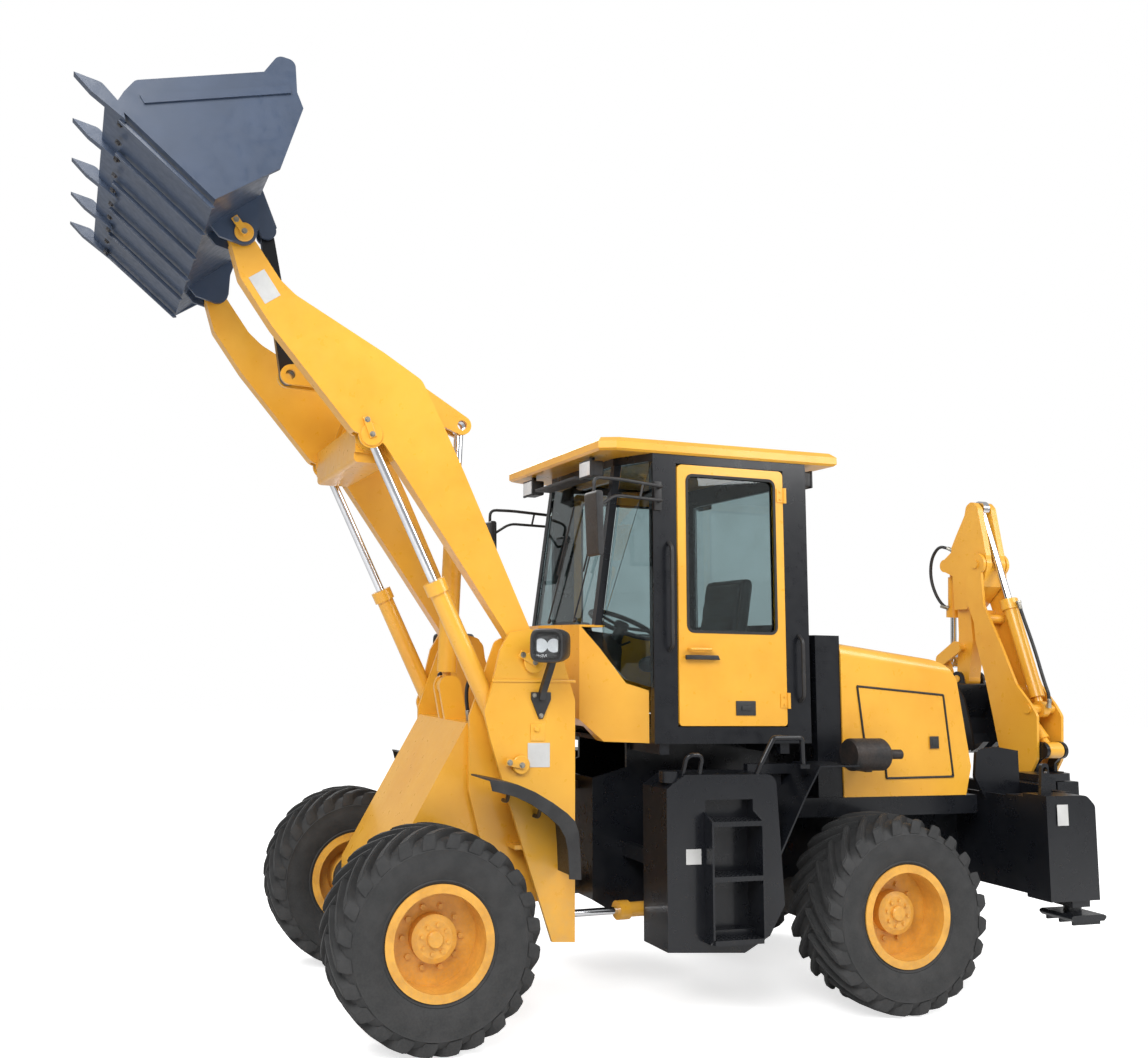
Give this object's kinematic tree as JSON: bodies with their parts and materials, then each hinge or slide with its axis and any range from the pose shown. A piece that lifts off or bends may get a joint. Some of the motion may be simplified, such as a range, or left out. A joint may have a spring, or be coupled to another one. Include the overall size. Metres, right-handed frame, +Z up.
{
  "type": "backhoe loader",
  "caption": "Wheeled backhoe loader with a toothed front bucket on raised lift arms, an enclosed cab and a digging arm folded at the tail.",
  "frame": {"origin": "on the ground, under the middle of the overall length and of the width", "axes": "+X forward, +Y to the machine's left, +Z up"},
  "size_m": [6.482, 2.13, 4.9259],
  "materials": {
    "tyre": "matte",
    "rim_paint": "satin",
    "glass": "gloss",
    "chromed_rod": "polished",
    "cylinder_paint": "gloss",
    "bucket_paint": "satin",
    "exhaust_steel": "satin",
    "cab_trim": "matte",
    "black_plastic": "matte",
    "cast_iron": "matte",
    "black_paint": "satin",
    "yellow_paint": "gloss"
  },
  "bodies": {
    "chassis": {"rear_frame": "black_paint", "engine_block": "cast_iron", "rear_axle": "cast_iron", "cab_frame": "black_paint", "cab_cowl": "yellow_paint", "cab_glass": "glass", "cab_roof": "yellow_paint", "cab_interior": "cab_trim", "cab_fittings": "black_plastic", "hood": "yellow_paint", "hood_bulkhead": "black_paint", "muffler": "exhaust_steel", "backhoe_frame": "black_paint", "tank_left": "black_paint", "tank_right": "black_paint"},
    "front": {"front_frame": "yellow_paint", "front_axle": "cast_iron", "front_fenders": "black_paint", "headlamps": "black_plastic"},
    "wheel_rear_left": {"tyre_rear_left": "tyre", "rim_rear_left": "rim_paint"},
    "wheel_rear_right": {"tyre_rear_right": "tyre", "rim_rear_right": "rim_paint"},
    "wheel_front_left": {"tyre_front_left": "tyre", "rim_front_left": "rim_paint"},
    "wheel_front_right": {"tyre_front_right": "tyre", "rim_front_right": "rim_paint"},
    "door_left": {"door_left": "yellow_paint", "door_glass_left": "glass"},
    "hood_panel_left": {"hood_panel_left": "yellow_paint"},
    "stabiliser_left": {"stabiliser_left": "black_paint"},
    "steer_barrel_left": {"steer_left_barrel": "cylinder_paint"},
    "steer_rod_left": {"steer_left_rod": "chromed_rod"},
    "door_right": {"door_right": "yellow_paint", "door_glass_right": "glass"},
    "hood_panel_right": {"hood_panel_right": "yellow_paint"},
    "stabiliser_right": {"stabiliser_right": "black_paint"},
    "steer_barrel_right": {"steer_right_barrel": "cylinder_paint"},
    "steer_rod_right": {"steer_right_rod": "chromed_rod"},
    "lift_arms": {"lift_arms": "yellow_paint"},
    "bell_crank": {"bell_crank": "yellow_paint"},
    "tilt_link": {"tilt_link": "yellow_paint"},
    "loader_bucket": {"loader_bucket": "bucket_paint"},
    "carriage": {"carriage": "black_paint"},
    "swing_post": {"swing_post": "black_paint"},
    "boom": {"boom": "yellow_paint"},
    "stick": {"stick": "yellow_paint"},
    "rocker": {"rocker": "yellow_paint"},
    "bucket_link": {"bucket_link": "yellow_paint"},
    "digging_bucket": {"digging_bucket": "bucket_paint"},
    "lift_barrel": {"lift_barrel": "cylinder_paint"},
    "lift_rod": {"lift_rod": "chromed_rod"},
    "tilt_barrel": {"tilt_barrel": "cylinder_paint"},
    "tilt_rod": {"tilt_rod": "chromed_rod"},
    "boom_barrel": {"boom_barrel": "cylinder_paint"},
    "boom_rod": {"boom_rod": "chromed_rod"},
    "stick_barrel": {"stick_barrel": "cylinder_paint"},
    "stick_rod": {"stick_rod": "chromed_rod"},
    "curl_barrel": {"curl_barrel": "cylinder_paint"},
    "curl_rod": {"curl_rod": "chromed_rod"}
  },
  "joints": [
    {"name": "frame_joint", "type": "hinge", "parent": "chassis", "child": "front", "pos_m": [0.269, 0, 0.9], "axis": [0, 0, 1], "range_deg": [-30, 30]},
    {"name": "wheel_rear_left", "type": "hinge", "parent": "chassis", "child": "wheel_rear_left", "pos_m": [-1.431, 0.825, 0.5375], "axis": [0, 1, 0], "continuous": true},
    {"name": "wheel_rear_right", "type": "hinge", "parent": "chassis", "child": "wheel_rear_right", "pos_m": [-1.431, -0.825, 0.5375], "axis": [0, 1, 0], "continuous": true},
    {"name": "wheel_front_left", "type": "hinge", "parent": "front", "child": "wheel_front_left", "pos_m": [1.306, 0.825, 0.5375], "axis": [0, 1, 0], "continuous": true},
    {"name": "wheel_front_right", "type": "hinge", "parent": "front", "child": "wheel_front_right", "pos_m": [1.306, -0.825, 0.5375], "axis": [0, 1, 0], "continuous": true},
    {"name": "door_left", "type": "hinge", "parent": "chassis", "child": "door_left", "pos_m": [-0.893, 0.7113, 2.3], "axis": [0, 0, 1], "range_deg": [0, 95]},
    {"name": "door_right", "type": "hinge", "parent": "chassis", "child": "door_right", "pos_m": [-0.893, -0.7113, 2.3], "axis": [0, 0, 1], "range_deg": [-95, 0]},
    {"name": "hood_panel_left", "type": "hinge", "parent": "chassis", "child": "hood_panel_left", "pos_m": [-1.453, 0.592, 1.794], "axis": [0.9972, 0, 0.0754], "range_deg": [0, 75]},
    {"name": "hood_panel_right", "type": "hinge", "parent": "chassis", "child": "hood_panel_right", "pos_m": [-1.453, -0.592, 1.794], "axis": [-0.9972, 0, -0.0754], "range_deg": [0, 75]},
    {"name": "lift", "type": "hinge", "parent": "front", "child": "lift_arms", "pos_m": [0.669, 0, 1.9], "axis": [0, -1, 0], "range_deg": [-89.5, 0]},
    {"name": "lift_cylinder", "type": "hinge", "parent": "front", "child": "lift_barrel", "pos_m": [0.742, 0, 1.35], "axis": [0, -1, 0], "range_deg": [-83.03, 1]},
    {"name": "lift_stroke", "type": "slide", "parent": "lift_barrel", "child": "lift_rod", "axis": [0.4411, 0, 0.8975], "range_m": [-0.7603, 0.005]},
    {"name": "tilt_cylinder", "type": "hinge", "parent": "front", "child": "tilt_barrel", "pos_m": [0.959, 0, 1.75], "axis": [0, -1, 0], "range_deg": [-96.66, 1]},
    {"name": "tilt_stroke", "type": "slide", "parent": "tilt_barrel", "child": "tilt_rod", "axis": [-0.0384, 0, 0.9993], "range_m": [-0.4422, 0.005]},
    {"name": "loader_tilt", "type": "hinge", "parent": "lift_arms", "child": "loader_bucket", "pos_m": [2.339, 0, 4.136], "axis": [0, 1, 0], "range_deg": [-91, 80]},
    {"name": "crank", "type": "hinge", "parent": "lift_arms", "child": "bell_crank", "pos_m": [1.439, 0, 3.57], "axis": [0, 1, 0], "range_deg": [-26.6, 30.12]},
    {"name": "link", "type": "hinge", "parent": "loader_bucket", "child": "tilt_link", "pos_m": [2.121, 0, 4.375], "axis": [0, 1, 0], "range_deg": [-65, 73.8]},
    {"name": "steer_cylinder_left", "type": "hinge", "parent": "chassis", "child": "steer_barrel_left", "pos_m": [-0.511, 0.43, 0.53], "axis": [0, 0, 1], "range_deg": [-8.2, 8.2]},
    {"name": "steer_stroke_left", "type": "slide", "parent": "steer_barrel_left", "child": "steer_rod_left", "axis": [0.9974, 0.0727, 0], "range_m": [-0.2555, 0.2555]},
    {"name": "stabiliser_left", "type": "slide", "parent": "chassis", "child": "stabiliser_left", "axis": [0, 0, -1], "range_m": [0, 0.5]},
    {"name": "steer_cylinder_right", "type": "hinge", "parent": "chassis", "child": "steer_barrel_right", "pos_m": [-0.511, -0.43, 0.53], "axis": [0, 0, 1], "range_deg": [-8.2, 8.2]},
    {"name": "steer_stroke_right", "type": "slide", "parent": "steer_barrel_right", "child": "steer_rod_right", "axis": [0.9974, -0.0727, 0], "range_m": [-0.2555, 0.2555]},
    {"name": "stabiliser_right", "type": "slide", "parent": "chassis", "child": "stabiliser_right", "axis": [0, 0, -1], "range_m": [0, 0.5]},
    {"name": "carriage", "type": "slide", "parent": "chassis", "child": "carriage", "axis": [0, 1, 0], "range_m": [-0.98, 0]},
    {"name": "swing", "type": "hinge", "parent": "carriage", "child": "swing_post", "pos_m": [-3.051, 0.5, 0.96], "axis": [0, 0, 1], "range_deg": [-180, 0]},
    {"name": "boom", "type": "hinge", "parent": "swing_post", "child": "boom", "pos_m": [-3.051, 0.27, 1.2], "axis": [1, 0, 0], "range_deg": [0, 85]},
    {"name": "boom_cylinder", "type": "hinge", "parent": "swing_post", "child": "boom_barrel", "pos_m": [-3.051, 0.45, 1.39], "axis": [1, 0, 0], "range_deg": [-1, 70.54]},
    {"name": "boom_stroke", "type": "slide", "parent": "boom_barrel", "child": "boom_rod", "axis": [0, -0.6599, 0.7513], "range_m": [-0.005, 0.3155]},
    {"name": "stick", "type": "hinge", "parent": "boom", "child": "stick", "pos_m": [-3.051, -0.01, 2.63], "axis": [-1, 0, 0], "range_deg": [0, 120]},
    {"name": "stick_cylinder", "type": "hinge", "parent": "boom", "child": "stick_barrel", "pos_m": [-3.051, 0.385, 1.65], "axis": [-1, 0, 0], "range_deg": [-1, 16.26]},
    {"name": "stick_stroke", "type": "slide", "parent": "stick_barrel", "child": "stick_rod", "axis": [0, -0.2987, 0.9543], "range_m": [-0.6383, 0.005]},
    {"name": "digging_tilt", "type": "hinge", "parent": "stick", "child": "digging_bucket", "pos_m": [-3.051, -0.235, 1.83], "axis": [-1, 0, 0], "range_deg": [0, 125]},
    {"name": "rocker", "type": "hinge", "parent": "stick", "child": "rocker", "pos_m": [-3.051, -0.22, 2.05], "axis": [-1, 0, 0], "range_deg": [-1, 89.43]},
    {"name": "bucket_link", "type": "hinge", "parent": "rocker", "child": "bucket_link", "pos_m": [-3.051, -0.37, 1.96], "axis": [-1, 0, 0], "range_deg": [-67.42, 1]},
    {"name": "curl_cylinder", "type": "hinge", "parent": "stick", "child": "curl_barrel", "pos_m": [-3.051, -0.335, 2.64], "axis": [-1, 0, 0], "range_deg": [-1.48, 1]},
    {"name": "curl_stroke", "type": "slide", "parent": "curl_barrel", "child": "curl_rod", "axis": [0, -0.0514, -0.9987], "range_m": [-0.2535, 0.005]}
  ],
  "couplings": [
    {"joint": "lift_cylinder", "follows": "lift", "ratio": 0.9165},
    {"joint": "lift_stroke", "follows": "lift", "m_per_rad": 0.4835},
    {"joint": "tilt_cylinder", "follows": "lift", "ratio": 1.0688},
    {"joint": "tilt_stroke", "follows": "lift", "m_per_rad": 0.2799},
    {"joint": "crank", "follows": "loader_tilt", "ratio": -0.32},
    {"joint": "link", "follows": "loader_tilt", "ratio": -0.8},
    {"joint": "steer_cylinder_left", "follows": "frame_joint", "ratio": 0.24},
    {"joint": "steer_stroke_left", "follows": "frame_joint", "m_per_rad": -0.4784},
    {"joint": "steer_cylinder_right", "follows": "frame_joint", "ratio": 0.24},
    {"joint": "steer_stroke_right", "follows": "frame_joint", "m_per_rad": 0.4784},
    {"joint": "boom_cylinder", "follows": "boom", "ratio": 0.8181},
    {"joint": "boom_stroke", "follows": "boom", "m_per_rad": 0.2093},
    {"joint": "stick_cylinder", "follows": "stick", "ratio": 0.1272},
    {"joint": "stick_stroke", "follows": "stick", "m_per_rad": -0.3024},
    {"joint": "rocker", "follows": "digging_tilt", "ratio": 0.7074},
    {"joint": "bucket_link", "follows": "digging_tilt", "ratio": -0.5314},
    {"joint": "curl_cylinder", "follows": "digging_tilt", "ratio": -0.0038},
    {"joint": "curl_stroke", "follows": "digging_tilt", "m_per_rad": -0.1139}
  ]
}
